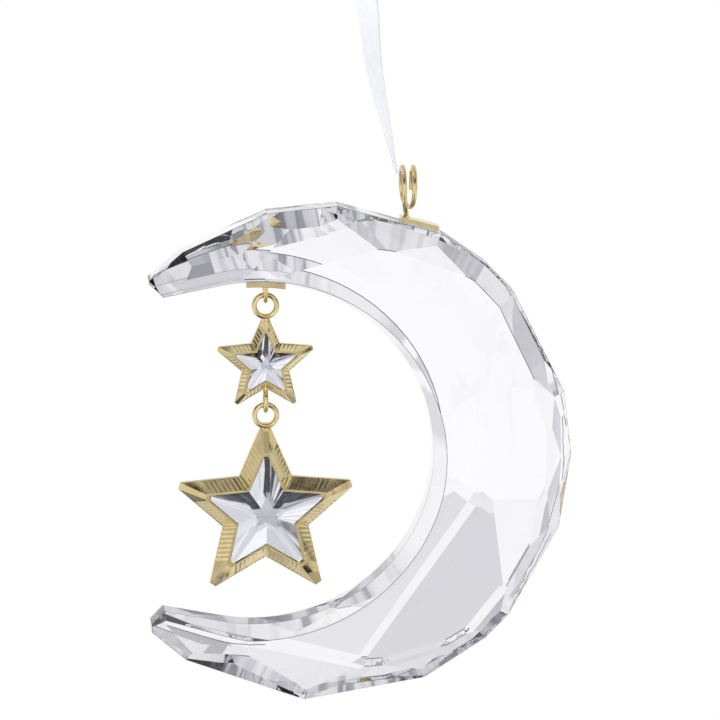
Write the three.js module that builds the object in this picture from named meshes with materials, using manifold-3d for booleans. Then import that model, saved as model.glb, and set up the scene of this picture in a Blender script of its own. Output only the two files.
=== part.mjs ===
// A hanging ornament: a cut-glass crescent moon with two small gold stars that hang in its bay,
// one below the other, on a white satin ribbon.
// Millimetres, +Z up, the front of the ornament faces -Y.
// The moon is drawn about the centre of its rim, and the whole ornament is then moved so that
// the origin lies inside the top of the ribbon's hanging loop, where a hook would hold it.
import * as THREE from 'three';
import { mergeVertices } from 'three/addons/utils/BufferGeometryUtils.js';
import Module from 'manifold-3d';

const wasm = await Module();
wasm.setup();

// Moon crystal
const RIM_HALF_WIDTH = 35.9;
const RIM_HALF_HEIGHT = 36.5;
const RIM_CORNERS = [134.8, 124.6, 103.4, 86.9, 62, 49.4, 39.9, 13.9,
  -0.8, -18, -41.7, -49.2, -66, -94.8, -124.2, -134.5];
const RIM_LAND = 4;
const MOON_DEPTH = 16.8;
const BEVEL_TILT = 46;
const TIP_CHAMFER = 2;
const BAY_HALF_WIDTH = 25.8;
const BAY_HALF_HEIGHT = 25.2;
const BAY_CENTRE = [-9.9, 0.24];
const BAY_TURN = 101;
const BAY_LAND = 4.2;
const BAY_FLARE = 12;
const BAY_STEPS = 44;
const KITE_CORNERS = [103.4, 86.9, 62, 13.9, -0.8, -18, -41.7, -66, -94.8, -124.2];
const KITE_TILT = 33;
const KITE_INSET = 2.6;
const KITE_DEPTH = 4.3;

// Plates
const PLATE_LENGTH = 5.7;
const TOP_PLATE_DEPTH = 2.6;
const INNER_PLATE_DEPTH = 3.4;
const PLATE_THICKNESS = 0.7;
const TOP_PLATE_FLAT = 3;
const TOP_PLATE_END_GAP = 0.4;
const GLUE = 0.1;
const HOLE_CLEARANCE = 0.1;

// Bail ring
const BAIL_WIRE = 0.8;
const BAIL_OUTER = 7.4;
const BAIL_SPREAD = 1.56;
const BAIL_LEAN = 0.23;
const BAIL_FOOT_FROM_PLATE_MIDDLE = 2;
const BAIL_ABOVE_PLATE = 0.6;
const BAIL_CROSSING = 70;
const BAIL_RISE = 0.9;
const BAIL_END_TURN = 640;

// Stars, measured to their points
const STAR_X = -8.4;
const NOTCH_SHARE = 0.5;
const BLUNT_SHARE = 0.038;
const SMALL_STAR_RADIUS = 7.24;
const SMALL_STONE_RADIUS = 4.45;
const SMALL_STAR_HEIGHT = 2.1;
const SMALL_STAR_BACK = 0.8;
const LARGE_STAR_RADIUS = 13.16;
const LARGE_STONE_RADIUS = 8.45;
const LARGE_STAR_HEIGHT = 3.1;
const LARGE_STAR_BACK = 1.25;
const STAR_EDGE = 0.6;
const CREST_WIDTH = 0.5;
const SHELF_WIDTH = 1.2;
const STONE_CLEARANCE = 0.27;

// The rings and eyes that the stars hang by
const STAR_RING_WIRE = 0.78;
const STAR_RING_DEPTH = 1.1;
const STAR_RING_OUTER = 4;
const RING_ABOVE_POINT = 1.3;
const NECK_WIDTH = 1.2;
const EYE_WIRE = 0.75;
const EYE_BORE = 1.3;
const INNER_EYE_DROP = 3.05;
const SMALL_EYE_DROP = 6.9;
const LINK_CLEARANCE = 0.15;

// Ribbon, 0.3 thick and laid double from the bail ring to the knot
const RIBBON_WIDTH = 2.4;
const RIBBON_LAYER = 0.3;
const RIBBON_CLEARANCE = 0.35;
const KNOT_SIZE = [5, 4, 4];
const KNOT_AT = [5.4, 72.5];
const LOOP_WIDTH = 9.8;
const LOOP_HEIGHT = 20;
const SOFT_GAP = 0.35;
const HOOK_RADIUS = 1.5;

const rad = THREE.MathUtils.degToRad;
const point = (x, y, z) => new THREE.Vector3(x, y, z);

const glass = () => new THREE.MeshStandardMaterial({ color: 0xf2f5f9, roughness: 0.03, metalness: 0 });
const gold = () => new THREE.MeshStandardMaterial({ color: 0xd8c487, roughness: 0.25, metalness: 1 });
const satin = () => new THREE.MeshStandardMaterial({ color: 0xf6f6f8, roughness: 0.5, metalness: 0 });

function piece(name, geometry, material) {
  const mesh = new THREE.Mesh(geometry, material);
  mesh.name = name;
  return mesh;
}

// A three.js geometry as a solid that can be cut and joined.
function solid(geometry) {
  const bare = new THREE.BufferGeometry();
  bare.setAttribute('position', geometry.getAttribute('position').clone());
  if (geometry.index) bare.setIndex(geometry.index.clone());
  const merged = mergeVertices(bare, 1e-5);
  return new wasm.Manifold(new wasm.Mesh({
    numProp: 3,
    vertProperties: new Float32Array(merged.getAttribute('position').array),
    triVerts: new Uint32Array(merged.index.array),
  }));
}

function geometryOf(body) {
  const mesh = body.getMesh();
  const geometry = new THREE.BufferGeometry();
  geometry.setAttribute('position', new THREE.BufferAttribute(mesh.vertProperties, 3));
  geometry.setIndex(new THREE.BufferAttribute(mesh.triVerts, 1));
  return geometry;
}

// A flat outline of [x, z] points as a plate from y = front to y = back.
function plateOf(outline, front, back) {
  const shape = new THREE.Shape(outline.map(([x, z]) => new THREE.Vector2(x, z)));
  const geometry = new THREE.ExtrudeGeometry(shape, { depth: back - front, bevelEnabled: false });
  return geometry.rotateX(Math.PI / 2).translate(0, back, 0);
}

function wireAlong(curve, diameter, steps, sides = 10) {
  const section = new THREE.Shape();
  for (let i = 0; i < sides; i += 1) {
    const turn = (2 * Math.PI * i) / sides;
    const x = (diameter / 2) * Math.cos(turn);
    const y = (diameter / 2) * Math.sin(turn);
    if (i === 0) section.moveTo(x, y);
    else section.lineTo(x, y);
  }
  return new THREE.ExtrudeGeometry(section, { steps, extrudePath: curve, bevelEnabled: false });
}

// The moon's outlines

function rimPoint(bearing) {
  return [RIM_HALF_WIDTH * Math.cos(rad(bearing)), RIM_HALF_HEIGHT * Math.sin(rad(bearing))];
}

// A flat of the rim: its outward bearing in degrees and its distance from the centre.
function rimFlat(k) {
  const [x1, z1] = rimPoint(RIM_CORNERS[k]);
  const [x2, z2] = rimPoint(RIM_CORNERS[k + 1]);
  const length = Math.hypot(x2 - x1, z2 - z1);
  const out = [(z1 - z2) / length, (x2 - x1) / length];
  return {
    bearing: THREE.MathUtils.radToDeg(Math.atan2(out[1], out[0])),
    distance: out[0] * x1 + out[1] * z1,
    start: [x1, z1],
    along: [(x2 - x1) / length, (z2 - z1) / length],
    length,
  };
}

// The bay: most of an oval, then straight on, and turned outwards across the corner of each tip.
// grow widens it.
function bayOutline(grow) {
  const [cx, cz] = BAY_CENTRE;
  const a = BAY_HALF_WIDTH + grow;
  const b = BAY_HALF_HEIGHT + grow;
  const outline = [];
  for (let i = 0; i <= BAY_STEPS; i += 1) {
    const turn = rad(BAY_TURN - (2 * BAY_TURN * i) / BAY_STEPS);
    outline.push([cx + a * Math.cos(turn), cz + b * Math.sin(turn)]);
  }
  const [x, z] = outline[0];
  const tipX = rimPoint(RIM_CORNERS[0])[0] + TIP_CHAMFER;
  const fall = ((x - tipX) * b) / (a * Math.tan(rad(180 - BAY_TURN)));
  for (const side of [1, -1]) {
    const add = side > 0 ? (corner) => outline.unshift(corner) : (corner) => outline.push(corner);
    add([tipX, cz + side * (z - cz - fall)]);
    add([tipX - MOON_DEPTH, cz + side * (z - cz - fall + MOON_DEPTH)]);
  }
  return outline;
}

// The bay's cutter: straight over the land in the middle, and flared towards both faces.
function bayCutter() {
  const half = MOON_DEPTH;
  const flare = (half - BAY_LAND / 2) * Math.tan(rad(BAY_FLARE));
  const rings = [
    [-half, bayOutline(flare)],
    [-BAY_LAND / 2, bayOutline(0)],
    [BAY_LAND / 2, bayOutline(0)],
    [half, bayOutline(flare)],
  ];
  const positions = rings.flatMap(([y, outline]) => outline.flatMap(([x, z]) => [x, y, z]));
  const count = rings[0][1].length;
  const faces = [];
  for (let r = 0; r + 1 < rings.length; r += 1) {
    for (let i = 0; i < count; i += 1) {
      const j = (i + 1) % count;
      const [p, q] = [r * count, (r + 1) * count];
      faces.push(p + i, q + i, p + j, p + j, q + i, q + j);
    }
  }
  const cap = THREE.ShapeUtils.triangulateShape(
    rings[0][1].map(([x, z]) => new THREE.Vector2(x, z)), []);
  const last = (rings.length - 1) * count;
  for (const [i, j, k] of cap) {
    faces.push(k, j, i, last + i, last + j, last + k);
  }
  const geometry = new THREE.BufferGeometry();
  geometry.setAttribute('position', new THREE.Float32BufferAttribute(positions, 3));
  geometry.setIndex(faces);
  return outward(geometry);
}

// Turns a closed geometry's faces round if they point inwards.
function outward(geometry) {
  const p = geometry.getAttribute('position');
  const index = geometry.index.array;
  let volume = 0;
  for (let i = 0; i < index.length; i += 3) {
    const [a, b, c] = [0, 1, 2].map((k) => point().fromBufferAttribute(p, index[i + k]));
    volume += a.dot(b.cross(c)) / 6;
  }
  if (volume < 0) {
    for (let i = 0; i < index.length; i += 3) {
      [index[i], index[i + 1]] = [index[i + 1], index[i]];
    }
  }
  return geometry;
}

// Grinds one flat facet: removes what lies beyond the plane that faces bearing, leans towards the
// face by tilt, and passes at distance from the centre and depth from the middle plane.
function grind(body, bearing, tilt, distance, depth, side) {
  const block = new THREE.BoxGeometry(200, 200, 40).translate(0, 0, 20);
  const out = point(Math.cos(rad(bearing)), 0, Math.sin(rad(bearing)));
  const normal = out.clone().multiplyScalar(Math.sin(rad(tilt)));
  normal.y = side * Math.cos(rad(tilt));
  block.applyQuaternion(new THREE.Quaternion().setFromUnitVectors(point(0, 0, 1), normal));
  const at = out.multiplyScalar(distance);
  block.translate(at.x, side * depth, at.z);
  return body.subtract(solid(block));
}

// The large facets of a face, each as [bearing, tilt, distance, depth from the middle plane].
// All but the one that looks straight out from the bay lie alike above and below it.
const MIDDLE_FACETS = [[0, 15, 25.2, 7], [0, 8, 20, 8.15]];
const PAIRED_FACETS = [
  [28.8, 17, 22, 8.2],
  [47.8, 12.6, 32, 5.15],
  [59.5, 6.8, 14.7, 8.2],
  [95.3, 28, 28.1, 7.4],
  [118, 36, 30.5, 6.7],
];

function moonCrystal() {
  let body = solid(plateOf(RIM_CORNERS.map(rimPoint), -MOON_DEPTH / 2, MOON_DEPTH / 2));
  const mirrored = PAIRED_FACETS.map(([bearing, ...rest]) => [-bearing, ...rest]);
  for (const side of [-1, 1]) {
    for (let k = 0; k + 1 < RIM_CORNERS.length; k += 1) {
      const { bearing, distance } = rimFlat(k);
      body = grind(body, bearing, BEVEL_TILT, distance, RIM_LAND / 2, side);
    }
    for (const bearing of KITE_CORNERS) {
      const distance = Math.hypot(...rimPoint(bearing)) - KITE_INSET;
      body = grind(body, bearing, KITE_TILT, distance, KITE_DEPTH, side);
    }
    for (const facet of [...MIDDLE_FACETS, ...PAIRED_FACETS, ...mirrored]) {
      body = grind(body, ...facet, side);
    }
  }
  return piece('moon_crystal', geometryOf(body.subtract(solid(bayCutter()))), glass());
}

// Gold plates and wires

function at(geometry, x, y, z) {
  return geometry.translate(x, y, z);
}

// The top plate lies flat on one flat of the rim. Its hole takes the foot of the bail ring.
function topPlate() {
  const flat = rimFlat(TOP_PLATE_FLAT);
  const outline = new THREE.Shape();
  outline.moveTo(-PLATE_LENGTH / 2, -TOP_PLATE_DEPTH / 2);
  outline.lineTo(PLATE_LENGTH / 2, -TOP_PLATE_DEPTH / 2);
  outline.lineTo(PLATE_LENGTH / 2, TOP_PLATE_DEPTH / 2);
  outline.lineTo(-PLATE_LENGTH / 2, TOP_PLATE_DEPTH / 2);
  const hole = new THREE.Path();
  hole.absarc(-BAIL_FOOT_FROM_PLATE_MIDDLE, 0, BAIL_WIRE / 2 + HOLE_CLEARANCE, 0, 2 * Math.PI);
  outline.holes.push(hole);
  const plate = new THREE.ExtrudeGeometry(outline, { depth: PLATE_THICKNESS, bevelEnabled: false });
  plate.rotateY(rad(90 - flat.bearing));
  const [x, z] = onTopPlate(0, GLUE);
  return piece('top_plate', at(plate, x, 0, z), gold());
}

// A point over the rim flat that carries the top plate: along it from the plate's middle, and
// out from the crystal.
function onTopPlate(along, out) {
  const flat = rimFlat(TOP_PLATE_FLAT);
  const run = flat.length - TOP_PLATE_END_GAP - PLATE_LENGTH / 2 + along;
  const facing = [Math.cos(rad(flat.bearing)), Math.sin(rad(flat.bearing))];
  return [0, 1].map((i) => flat.start[i] + flat.along[i] * run + facing[i] * out);
}

function bailMiddle() {
  const [x, z] = onTopPlate(-BAIL_FOOT_FROM_PLATE_MIDDLE, GLUE + PLATE_THICKNESS);
  return [x + BAIL_LEAN, z + BAIL_ABOVE_PLATE + bailRadius()];
}

const bailRadius = () => (BAIL_OUTER - BAIL_WIRE) / 2;

// Where the bail ring's wire is after a turn in degrees from its lowest point, front first.
// After one turn it passes over its own foot.
function bailPoint(turn) {
  const [x, z] = bailMiddle();
  const past = (turn - 360) / BAIL_CROSSING;
  const across = (BAIL_SPREAD / 2) * Math.tanh(past);
  const foot = (BAIL_SPREAD / 2 - BAIL_LEAN) * Math.exp(-((turn / 45) ** 2));
  const r = bailRadius();
  const height = z - r * Math.cos(rad(turn)) + BAIL_RISE * Math.exp(-(past ** 2));
  return point(x + across + foot, -r * Math.sin(rad(turn)), height);
}

// One wire: a foot in the plate's hole, a tight bend, and one turn and three quarters.
function bailRing() {
  const foot = onTopPlate(-BAIL_FOOT_FROM_PLATE_MIDDLE, GLUE + 0.1);
  const mouth = onTopPlate(-BAIL_FOOT_FROM_PLATE_MIDDLE, GLUE + PLATE_THICKNESS);
  const path = [point(foot[0], 0, foot[1]), point(mouth[0], 0, mouth[1])];
  const start = bailPoint(9);
  const bend = -start.y;
  for (const turn of [15, 45, 75]) {
    const y = -bend + bend * Math.cos(rad(turn));
    path.push(point(start.x, y, start.z - bend + bend * Math.sin(rad(turn))));
  }
  for (let turn = 9; turn < BAIL_END_TURN; turn += 15) {
    path.push(bailPoint(turn));
  }
  path.push(bailPoint(BAIL_END_TURN));
  const curve = new THREE.CatmullRomCurve3(path, false, 'centripetal');
  return piece('bail_ring', wireAlong(curve, BAIL_WIRE, 150), gold());
}

// The inner wall's land over STAR_X.
function bayTop(x = STAR_X) {
  const [cx, cz] = BAY_CENTRE;
  return cz + BAY_HALF_HEIGHT * Math.sqrt(1 - ((x - cx) / BAY_HALF_WIDTH) ** 2);
}

// The inner plate is curved to the land, with two holes for the legs of its eye.
function innerPlate() {
  const left = STAR_X - PLATE_LENGTH / 2;
  const steps = 10;
  const xs = Array.from({ length: steps + 1 }, (_, i) => left + (PLATE_LENGTH * i) / steps);
  const upper = xs.map((x) => [x, bayTop(x) - GLUE]);
  const lower = xs.map((x) => [x, bayTop(x) - GLUE - PLATE_THICKNESS]);
  const half = INNER_PLATE_DEPTH / 2;
  let body = solid(plateOf([...upper, ...lower.reverse()], -half, half));
  for (const y of [-1, 1]) {
    const radius = EYE_WIRE / 2 + HOLE_CLEARANCE;
    const hole = new THREE.CylinderGeometry(radius, radius, 4, 20).rotateX(Math.PI / 2);
    body = body.subtract(solid(at(hole, STAR_X, y * eyeRadius(), bayTop())));
  }
  return piece('inner_plate', geometryOf(body), gold());
}

const eyeRadius = () => (EYE_BORE + EYE_WIRE) / 2;

// The lower half of an eye, from its front leg to its back leg, about a given bottom.
function eyeBow(bottom) {
  const r = eyeRadius();
  return [0, 22.5, 45, 67.5, 90, 112.5, 135, 157.5, 180].map((turn) => point(
    STAR_X, -r * Math.cos(rad(turn)), bottom + r - r * Math.sin(rad(turn))));
}

function innerEye() {
  const bottom = innerEyeBottom();
  const top = bayTop() - GLUE - 0.1;
  const leg = (y) => [top, (2 * top + bottom) / 3].map((z) => point(STAR_X, y * eyeRadius(), z));
  const path = [...leg(-1), ...eyeBow(bottom), ...leg(1).reverse()];
  const curve = new THREE.CatmullRomCurve3(path, false, 'centripetal');
  return piece('inner_eye', wireAlong(curve, EYE_WIRE, 40), gold());
}

// Heights of the chain's parts: each eye's lowest point, each star ring's middle, each star's
// middle, from the top down.
const ringRadius = () => (STAR_RING_OUTER - STAR_RING_WIRE) / 2;
const hangs = (eye) => eye + EYE_WIRE / 2 + LINK_CLEARANCE - ringRadius() + STAR_RING_WIRE / 2;
const innerEyeBottom = () => bayTop() - INNER_EYE_DROP;
const smallRingMiddle = () => hangs(innerEyeBottom());
const smallStarMiddle = () => smallRingMiddle() - RING_ABOVE_POINT - SMALL_STAR_RADIUS;
const smallEyeBottom = () => smallStarMiddle() - SMALL_EYE_DROP;
const largeRingMiddle = () => hangs(smallEyeBottom());
const largeStarMiddle = () => largeRingMiddle() - RING_ABOVE_POINT - LARGE_STAR_RADIUS;

// Stars

// A star with blunt points as [x, z], one point up.
function starOutline(radius) {
  const outline = [];
  for (let arm = 0; arm < 5; arm += 1) {
    const turn = 90 + arm * 72;
    const up = [Math.cos(rad(turn)), Math.sin(rad(turn))];
    for (const side of [1, -1]) {
      const across = side * BLUNT_SHARE * radius;
      outline.push([up[0] * radius + up[1] * across, up[1] * radius - up[0] * across]);
    }
    const notch = rad(turn + 36);
    outline.push([NOTCH_SHARE * radius * Math.cos(notch), NOTCH_SHARE * radius * Math.sin(notch)]);
  }
  return outline;
}

// A form through star outlines, each given as [radius, y]. round joins the last to the first,
// otherwise both ends are closed flat.
function starForm(rings, round) {
  const outlines = rings.map(([radius, y]) => starOutline(radius).map(([x, z]) => [x, y, z]));
  const positions = outlines.flat(2);
  const count = outlines[0].length;
  const faces = [];
  for (let r = 0; r < (round ? rings.length : rings.length - 1); r += 1) {
    const [p, q] = [r * count, ((r + 1) % rings.length) * count];
    for (let i = 0; i < count; i += 1) {
      const j = (i + 1) % count;
      faces.push(p + i, p + j, q + i, p + j, q + j, q + i);
    }
  }
  if (!round) {
    const last = rings.length - 1;
    positions.push(0, rings[0][1], 0, 0, rings[last][1], 0);
    const middle = rings.length * count;
    for (let i = 0; i < count; i += 1) {
      const j = (i + 1) % count;
      faces.push(middle, j, i, middle + 1, last * count + i, last * count + j);
    }
  }
  const geometry = new THREE.BufferGeometry();
  geometry.setAttribute('position', new THREE.Float32BufferAttribute(positions, 3));
  geometry.setIndex(faces);
  return outward(geometry);
}

// A cast frame: sloping from its crest to a thin edge, open at the back, with a shelf for the
// stone and a ring on its top point.
function starFrame(radius, stone, height, back) {
  const seat = stone + STONE_CLEARANCE;
  const frame = solid(starForm([
    [stone - SHELF_WIDTH, back - height / 2],
    [seat, back - height / 2],
    [seat, back - height],
    [seat + CREST_WIDTH, back - height],
    [radius, back - STAR_EDGE],
    [radius, back],
    [stone - SHELF_WIDTH, back],
  ], true));
  const middle = radius + RING_ABOVE_POINT;
  const ring = new THREE.TorusGeometry(ringRadius(), STAR_RING_WIRE / 2, 12, 36);
  ring.rotateX(Math.PI / 2).scale(1, STAR_RING_DEPTH / STAR_RING_WIRE, 1).translate(0, 0, middle);
  const low = radius - 2 * RING_ABOVE_POINT;
  const high = middle - ringRadius();
  const neck = new THREE.CylinderGeometry(NECK_WIDTH / 2, NECK_WIDTH / 2, high - low, 16);
  neck.rotateX(Math.PI / 2).translate(0, back - STAR_EDGE - 0.1, (high + low) / 2);
  return frame.add(solid(neck)).add(solid(ring));
}

function starStone(stone, height, back) {
  return starForm([
    [stone * 0.15, back - 1.28 * height],
    [stone, back - 0.87 * height],
    [stone, back - height / 2 - GLUE],
    [stone - SHELF_WIDTH - STONE_CLEARANCE, back - height / 2 - GLUE],
    [stone * 0.25, back - 0.1 * height],
  ], false);
}

// The small star's eye: a stem in a hole of the lower notch, and a bow round to the stem again.
function smallEyeCurve() {
  const bottom = smallEyeBottom();
  const notch = smallStarMiddle() - NOTCH_SHARE * SMALL_STAR_RADIUS;
  const r = eyeRadius();
  const path = [
    point(STAR_X, 0.15, notch + 1.1),
    point(STAR_X, 0.15, notch + 0.2),
    point(STAR_X, 0.02, notch - 0.5),
    point(STAR_X, -0.6 * r, notch - 1.05),
    ...eyeBow(bottom),
    point(STAR_X, 0.85 * r, bottom + 1.7 * r),
    point(STAR_X, 0.45 * r, bottom + 2.15 * r),
  ];
  return new THREE.CatmullRomCurve3(path, false, 'centripetal');
}

function smallStar() {
  const middle = smallStarMiddle();
  const frame = starFrame(SMALL_STAR_RADIUS, SMALL_STONE_RADIUS, SMALL_STAR_HEIGHT, SMALL_STAR_BACK)
    .translate([STAR_X, 0, middle]);
  const hole = solid(wireAlong(smallEyeCurve(), EYE_WIRE + 2 * HOLE_CLEARANCE, 60));
  const stone = starStone(SMALL_STONE_RADIUS, SMALL_STAR_HEIGHT, SMALL_STAR_BACK);
  return [
    piece('small_star_frame', geometryOf(frame.subtract(hole)), gold()),
    piece('small_star_stone', at(stone, STAR_X, 0, middle), glass()),
    piece('small_star_eye', wireAlong(smallEyeCurve(), EYE_WIRE, 60), gold()),
  ];
}

function largeStar() {
  const middle = largeStarMiddle();
  const frame = starFrame(LARGE_STAR_RADIUS, LARGE_STONE_RADIUS, LARGE_STAR_HEIGHT, LARGE_STAR_BACK)
    .translate([STAR_X, 0, middle]);
  const stone = starStone(LARGE_STONE_RADIUS, LARGE_STAR_HEIGHT, LARGE_STAR_BACK);
  return [
    piece('large_star_frame', geometryOf(frame), gold()),
    piece('large_star_stone', at(stone, STAR_X, 0, middle), glass()),
  ];
}

// Ribbon

function ribbonAlong(path, thickness, steps) {
  const section = new THREE.Shape();
  section.moveTo(-RIBBON_WIDTH / 2, -thickness / 2);
  section.lineTo(RIBBON_WIDTH / 2, -thickness / 2);
  section.lineTo(RIBBON_WIDTH / 2, thickness / 2);
  section.lineTo(-RIBBON_WIDTH / 2, thickness / 2);
  const curve = new THREE.CatmullRomCurve3(path, false, 'centripetal');
  return new THREE.ExtrudeGeometry(section, { steps, extrudePath: curve, bevelEnabled: false });
}

// The ribbon goes round the first turn of the bail ring, and both its layers run up to the knot.
function ribbonStrand() {
  const inner = BAIL_WIRE / 2 + RIBBON_CLEARANCE;
  const outer = inner + RIBBON_LAYER;
  const half = RIBBON_WIDTH / 2;
  const wrap = new THREE.LatheGeometry([[inner, -half], [outer, -half], [outer, half],
    [inner, half], [inner, -half]].map(([x, y]) => new THREE.Vector2(x, y)), 32);
  const top = bailPoint(180);
  const route = [[10.03, 42.3], [9.64, 44.5], [8.8, 48.2], [7.9, 51.9], [6.89, 57.8], [6.38, 63]];
  const lean = Math.atan2(top.x - route[0][0], top.z - route[0][1]);
  const middle = (inner + outer) / 2;
  const path = [
    point(top.x + middle * Math.sin(lean + 0.25), 0, top.z + middle * Math.cos(lean + 0.25)),
    ...route.map(([x, z]) => point(x, 0, z)),
    point(KNOT_AT[0] + 0.2, 0, KNOT_AT[1] - KNOT_SIZE[2] / 2 - SOFT_GAP),
  ];
  const strand = solid(ribbonAlong(path, 2 * RIBBON_LAYER, 40));
  const body = solid(at(wrap, top.x, 0, top.z)).add(strand);
  const bore = new THREE.CylinderGeometry(inner, inner, 2 * RIBBON_WIDTH, 32);
  return piece('ribbon_strand', geometryOf(body.subtract(solid(at(bore, top.x, 0, top.z)))), satin());
}

function ribbonKnot() {
  const knot = new THREE.SphereGeometry(0.5, 20, 12).scale(...KNOT_SIZE);
  return piece('ribbon_knot', at(knot, KNOT_AT[0], 0, KNOT_AT[1]), satin());
}

const loopStart = () => KNOT_AT[1] + KNOT_SIZE[2] / 2 + SOFT_GAP;

function ribbonLoop() {
  const path = [];
  for (let i = 0; i <= 24; i += 1) {
    const turn = (2 * Math.PI * i) / 24;
    const side = Math.sin(turn) * Math.sin(turn / 2) ** 1.5 * LOOP_WIDTH * 0.71;
    path.push(point(KNOT_AT[0] + side + RIBBON_LAYER * 1.2 * Math.cos(turn / 2), 0,
      loopStart() + (LOOP_HEIGHT / 2) * (1 - Math.cos(turn))));
  }
  return piece('ribbon_loop', ribbonAlong(path, RIBBON_LAYER, 60), satin());
}

const ornament = new THREE.Group();
ornament.add(moonCrystal(), topPlate(), bailRing(), innerPlate(), innerEye());
ornament.add(...smallStar(), ...largeStar());
ornament.add(ribbonStrand(), ribbonKnot(), ribbonLoop());
ornament.position.set(-KNOT_AT[0], 0,
  HOOK_RADIUS + RIBBON_LAYER / 2 - loopStart() - LOOP_HEIGHT);

export default ornament;
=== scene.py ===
import math

import bmesh
import bpy
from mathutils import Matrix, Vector


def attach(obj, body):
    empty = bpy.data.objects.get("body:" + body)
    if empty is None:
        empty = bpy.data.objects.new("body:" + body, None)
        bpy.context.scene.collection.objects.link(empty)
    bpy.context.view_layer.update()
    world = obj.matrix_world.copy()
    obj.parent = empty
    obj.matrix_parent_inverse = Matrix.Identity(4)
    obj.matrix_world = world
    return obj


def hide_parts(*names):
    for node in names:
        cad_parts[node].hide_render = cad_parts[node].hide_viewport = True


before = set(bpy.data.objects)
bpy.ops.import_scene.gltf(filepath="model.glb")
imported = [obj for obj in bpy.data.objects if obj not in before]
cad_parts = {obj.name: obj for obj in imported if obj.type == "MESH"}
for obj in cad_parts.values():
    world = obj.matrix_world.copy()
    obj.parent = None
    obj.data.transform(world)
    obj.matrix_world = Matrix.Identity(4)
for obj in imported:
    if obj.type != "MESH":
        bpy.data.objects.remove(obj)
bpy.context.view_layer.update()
# The loaded nodes are left selected, and the tools below act on all that is selected.
for loaded in bpy.context.selected_objects:
    loaded.select_set(False)
MM = 0.001


# The camera looks at the moon from a little to the left and from above, from far away, so that
# the picture is nearly without perspective, as the photograph is. The picture's middle lies
# PICTURE_RIGHT and PICTURE_UP pixels from the moon's.
MOON_MIDDLE = Vector((-5.4, 0, -93.2)) * MM
MM_PER_PIXEL = 0.145
PICTURE_RIGHT, PICTURE_UP = 36.5, 91.6
LENS = 400
SENSOR = 36
PICTURE = 720
azimuth, elevation = math.radians(-4.5), math.radians(11)
back = Vector((math.sin(azimuth) * math.cos(elevation), -math.cos(azimuth) * math.cos(elevation),
               math.sin(elevation)))
right = Vector((math.cos(azimuth), math.sin(azimuth), 0))
up = back.cross(right)
aim = MOON_MIDDLE + (right * PICTURE_RIGHT + up * PICTURE_UP) * MM_PER_PIXEL * MM
distance = MM_PER_PIXEL * MM * PICTURE * LENS / SENSOR
bpy.ops.object.camera_add(location=aim + back * distance)
camera = bpy.context.object
camera.name = "camera"
camera.rotation_euler = back.to_track_quat("Z", "Y").to_euler()
camera.data.lens = LENS
camera.data.sensor_width = SENSOR
camera.data.clip_start = 0.05
camera.data.clip_end = 20
bpy.context.scene.camera = camera
bpy.context.scene.view_settings.view_transform = "Standard"


# Ribbon strand: white satin ribbon, 4 mm wide, folded double round the bail ring and pulled up to
# the knot. It stands edge-on where it leaves the ring, and turns its face to the front higher up.
def linear(colour):
    """An sRGB hex colour as linear red, green, blue and alpha."""
    parts = [int(colour[i:i + 2], 16) / 255 for i in (0, 2, 4)]
    return [c / 12.92 if c <= 0.04045 else ((c + 0.055) / 1.055) ** 2.4 for c in parts] + [1]


def add(tree, kind, inputs=(), stops=(), **settings):
    """Adds one node. inputs are (input, value) or (input, node, the node's output), stops are a
    colour ramp's (position, colour), and settings are properties or inputs by name. Where a Mix
    node mixes colours, its factor is input 0, they are inputs 6 and 7, and its result is output 2."""
    node = tree.nodes.new(kind)
    for name, value in settings.items():
        if hasattr(node, name):
            setattr(node, name, value)
        else:
            node.inputs[name.replace("_", " ")].default_value = value
    for name, source, *output in inputs:
        if output:
            tree.links.new(source.outputs[output[0]], node.inputs[name])
        else:
            node.inputs[name].default_value = source
    for i, (position, colour) in enumerate(stops):
        ramp = node.color_ramp.elements
        if i == 0:
            ramp.remove(ramp[1])
        stop = ramp.new(position) if i else ramp[0]
        stop.position = position
        stop.color = colour
    return node


def material(name):
    """A material with an empty node tree."""
    made = bpy.data.materials.new(name)
    made.use_nodes = True
    made.node_tree.nodes.clear()
    return made, made.node_tree


def smooth_path(points, count):
    """count points evenly along a smooth curve through the given ones."""
    fine = 24
    dense = []
    for i in range(len(points) - 1):
        a = points[max(i - 1, 0)]
        b, c = points[i], points[i + 1]
        d = points[min(i + 2, len(points) - 1)]
        for k in range(fine):
            t = k / fine
            dense.append(0.5 * (2 * b + (c - a) * t + (2 * a - 5 * b + 4 * c - d) * t * t
                                + (3 * b - a - 3 * c + d) * t ** 3))
    dense.append(points[-1])
    runs = [0]
    for p, q in zip(dense, dense[1:]):
        runs.append(runs[-1] + (q - p).length)
    even, k = [], 0
    for i in range(count):
        want = runs[-1] * i / (count - 1)
        while k < len(runs) - 2 and runs[k + 1] < want:
            k += 1
        share = (want - runs[k]) / max(runs[k + 1] - runs[k], 1e-12)
        even.append(dense[k].lerp(dense[k + 1], share))
    return even


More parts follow.
